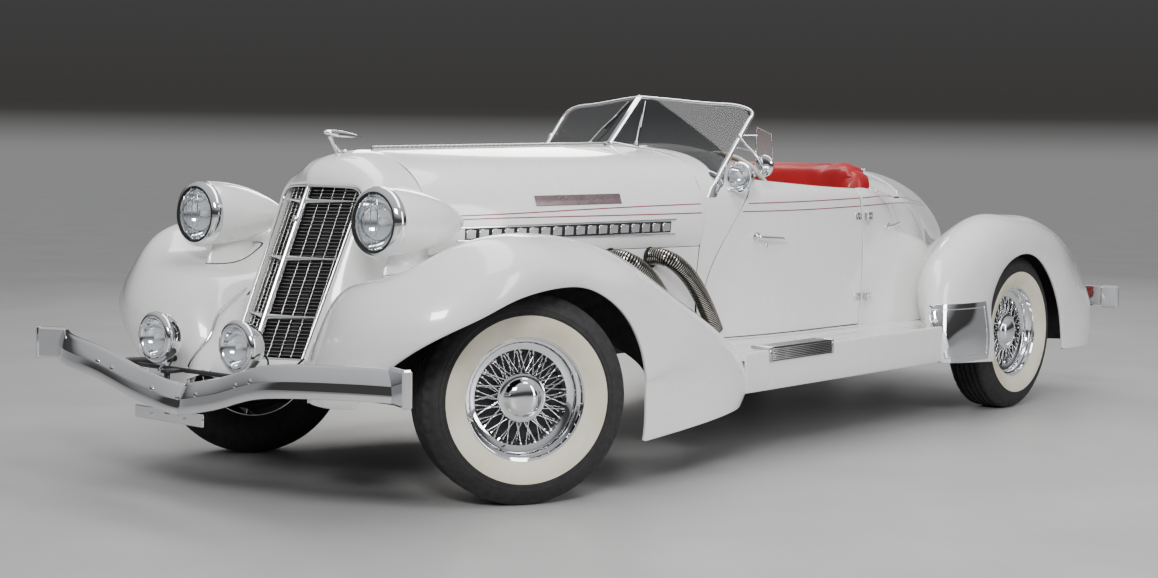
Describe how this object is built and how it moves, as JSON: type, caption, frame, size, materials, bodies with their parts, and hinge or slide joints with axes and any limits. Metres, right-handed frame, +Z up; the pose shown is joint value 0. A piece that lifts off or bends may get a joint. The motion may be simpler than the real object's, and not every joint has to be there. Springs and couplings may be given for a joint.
{
  "type": "boat-tail speedster roadster",
  "caption": "Two-seat open roadster with a leaning V grille, long hood, raked V windscreen, teardrop fenders, wire wheels and a boat tail; wheels steer and spin, doors and lids open.",
  "frame": {"origin": "middle of the car seen from above, on the ground under its tyres", "axes": "+Z up, -Y towards the front of the car, +X towards its left side"},
  "size_m": [1.9188, 5.148, 1.399],
  "materials": {
    "paint_white": "gloss pearl white",
    "chrome": "polished chrome plate",
    "chrome_hose": "ribbed flexible pipe, plated",
    "wire_wheel": "plated wire wheel",
    "tyre": "black rubber with a cream side band",
    "leather_red": "red leather",
    "glass": "tinted safety glass",
    "frame_black": "satin black",
    "engine": "painted casting",
    "exhaust_steel": "dull steel",
    "radiator_core": "matt black",
    "grille_metal": "plated slats over dark",
    "carpet": "red carpet",
    "lamp_red": "red lens",
    "dash_trim": "black padded trim",
    "wheel_rim_ivory": "ivory rim"
  },
  "bodies": {
    "car_body": {"body_sills": "paint_white", "chassis_frame": "frame_black", "cowl": "paint_white", "dashboard": "dash_trim", "door_hinges": "chrome", "drive_shaft": "frame_black", "engine_block": "engine", "engine_side_panels": "paint_white", "exhaust_hoses": "chrome_hose", "exhaust_system": "exhaust_steel", "floor_pan": "carpet", "fog_lamps": "chrome", "front_apron": "paint_white", "front_axle": "frame_black", "front_bumper": "chrome", "front_fender_left": "paint_white", "front_fender_right": "paint_white", "fuel_tank": "frame_black", "gravel_guards": "chrome", "grille": "grille_metal", "grille_shell": "paint_white", "headlamps": "paint_white", "hood_hinge": "chrome", "hood_ornament": "chrome", "leaf_springs": "frame_black", "mirrors": "chrome", "radiator": "radiator_core", "rear_axle": "frame_black", "rear_bumper": "chrome", "rear_fender_left": "paint_white", "rear_fender_right": "paint_white", "running_boards": "paint_white", "seat_back": "leather_red", "seat_cushion": "leather_red", "spot_lamps": "chrome", "steering_column": "frame_black", "step_pads": "chrome", "tail_body": "paint_white", "tail_lamps": "lamp_red", "wind_wings": "glass", "windscreen_frame": "chrome", "windscreen_glass": "glass"},
    "hood_left": {"hood_left": "paint_white"},
    "hood_right": {"hood_right": "paint_white"},
    "door_left": {"door_left": "paint_white"},
    "door_right": {"door_right": "paint_white"},
    "top_well_lid": {"top_well_lid": "paint_white"},
    "knuckle_left": {"knuckle_left": "frame_black"},
    "knuckle_right": {"knuckle_right": "frame_black"},
    "steering_wheel": {"steering_wheel": "wheel_rim_ivory"},
    "wheel_front_left": {"wheel_front_left": "wire_wheel", "tyre_front_left": "tyre"},
    "wheel_front_right": {"wheel_front_right": "wire_wheel", "tyre_front_right": "tyre"},
    "wheel_rear_left": {"wheel_rear_left": "wire_wheel", "tyre_rear_left": "tyre"},
    "wheel_rear_right": {"wheel_rear_right": "wire_wheel", "tyre_rear_right": "tyre"}
  },
  "joints": [
    {"name": "steer_left", "type": "hinge", "parent": "car_body", "child": "knuckle_left", "pos_m": [0.667, -1.696, 0.352], "axis": [0, 0, 1], "range_deg": [-5, 65]},
    {"name": "steer_right", "type": "hinge", "parent": "car_body", "child": "knuckle_right", "pos_m": [-0.667, -1.696, 0.352], "axis": [0, 0, 1], "range_deg": [-5, 65]},
    {"name": "steering_wheel_turn", "type": "hinge", "parent": "car_body", "child": "steering_wheel", "pos_m": [0.29, 0.073, 0.985], "axis": [0, 0.8601, 0.5101], "range_deg": [-70, 910]},
    {"name": "spin_front_left", "type": "hinge", "parent": "knuckle_left", "child": "wheel_front_left", "pos_m": [0.71896, -1.726, 0.352], "axis": [0.866, -0.5, 0], "continuous": true},
    {"name": "spin_front_right", "type": "hinge", "parent": "knuckle_right", "child": "wheel_front_right", "pos_m": [-0.71896, -1.666, 0.352], "axis": [0.866, -0.5, 0], "continuous": true},
    {"name": "spin_rear_left", "type": "hinge", "parent": "car_body", "child": "wheel_rear_left", "pos_m": [0.79, 1.511, 0.352], "axis": [1, 0, 0], "continuous": true},
    {"name": "spin_rear_right", "type": "hinge", "parent": "car_body", "child": "wheel_rear_right", "pos_m": [-0.79, 1.511, 0.352], "axis": [1, 0, 0], "continuous": true},
    {"name": "door_left_swing", "type": "hinge", "parent": "car_body", "child": "door_left", "pos_m": [0.634, 0.588, 0.73], "axis": [0, 0, 1], "range_deg": [0, 70]},
    {"name": "door_right_swing", "type": "hinge", "parent": "car_body", "child": "door_right", "pos_m": [-0.634, 0.588, 0.73], "axis": [0, 0, -1], "range_deg": [0, 70]},
    {"name": "hood_left_lift", "type": "hinge", "parent": "car_body", "child": "hood_left", "pos_m": [0, -1.72, 1.166], "axis": [0, -0.9998, -0.021], "range_deg": [0, 45]},
    {"name": "hood_right_lift", "type": "hinge", "parent": "car_body", "child": "hood_right", "pos_m": [0, -1.72, 1.166], "axis": [0, 0.9998, 0.021], "range_deg": [0, 45]},
    {"name": "top_well_lid_lift", "type": "hinge", "parent": "car_body", "child": "top_well_lid", "pos_m": [0, 1.332, 1.086], "axis": [-1, 0, 0], "range_deg": [0, 70]}
  ],
  "couplings": [
    {"joint": "steer_right", "follows": "steer_left", "ratio": 1},
    {"joint": "steering_wheel_turn", "follows": "steer_left", "ratio": 14}
  ]
}
